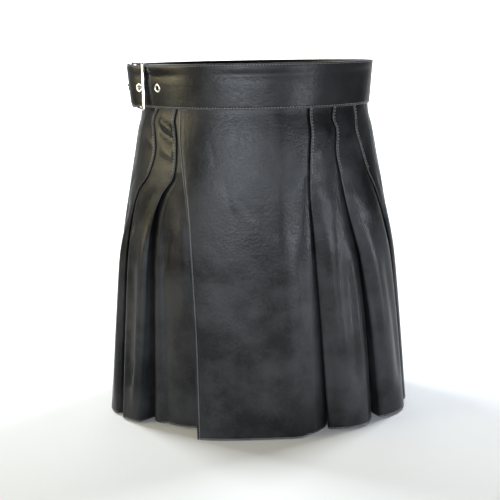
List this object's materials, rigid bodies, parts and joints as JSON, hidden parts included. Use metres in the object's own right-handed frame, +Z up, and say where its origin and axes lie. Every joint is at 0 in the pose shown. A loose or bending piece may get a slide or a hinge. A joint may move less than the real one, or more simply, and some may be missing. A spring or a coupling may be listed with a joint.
{
  "type": "leather kilt",
  "caption": "Leather wrap kilt in its worn shape: flat front apron, knife pleats stitched down at the hip and flaring to the hem, wide waistband fastened by a tall buckle at the side.",
  "frame": {"origin": "middle of the waistband ring, halfway up the band, on the axis of the waist", "axes": "+Z up along the waist axis; the front apron faces -Y; +X is the wearer's left"},
  "size_m": [0.4685, 0.3509, 0.5332],
  "materials": {
    "skirt_leather": "black smooth cowhide, satin, 1.3 mm, soft and lightly creased",
    "band_leather": "black smooth cowhide, satin to gloss, doubled and topstitched",
    "buckle_steel": "polished nickel-plated steel"
  },
  "bodies": {
    "root": {"waistband_front": "band_leather", "waistband_back": "band_leather", "waistband_under": "band_leather", "buckle_keeper": "band_leather", "buckle_frame": "buckle_steel", "buckle_prong": "buckle_steel", "eyelet_1": "buckle_steel", "eyelet_2": "buckle_steel", "eyelet_3": "buckle_steel", "front_apron": "skirt_leather", "under_apron": "skirt_leather", "back_panel": "skirt_leather", "pleat_left_1": "skirt_leather", "pleat_left_2": "skirt_leather", "pleat_left_3": "skirt_leather", "pleat_left_4": "skirt_leather", "pleat_left_5": "skirt_leather", "pleat_left_6": "skirt_leather", "pleat_left_7": "skirt_leather", "pleat_left_8": "skirt_leather", "pleat_left_9": "skirt_leather", "pleat_right_1": "skirt_leather", "pleat_right_2": "skirt_leather", "pleat_right_3": "skirt_leather", "pleat_right_4": "skirt_leather", "pleat_right_5": "skirt_leather", "pleat_right_6": "skirt_leather", "pleat_right_7": "skirt_leather", "pleat_right_8": "skirt_leather", "pleat_right_9": "skirt_leather"}
  },
  "joints": []
}
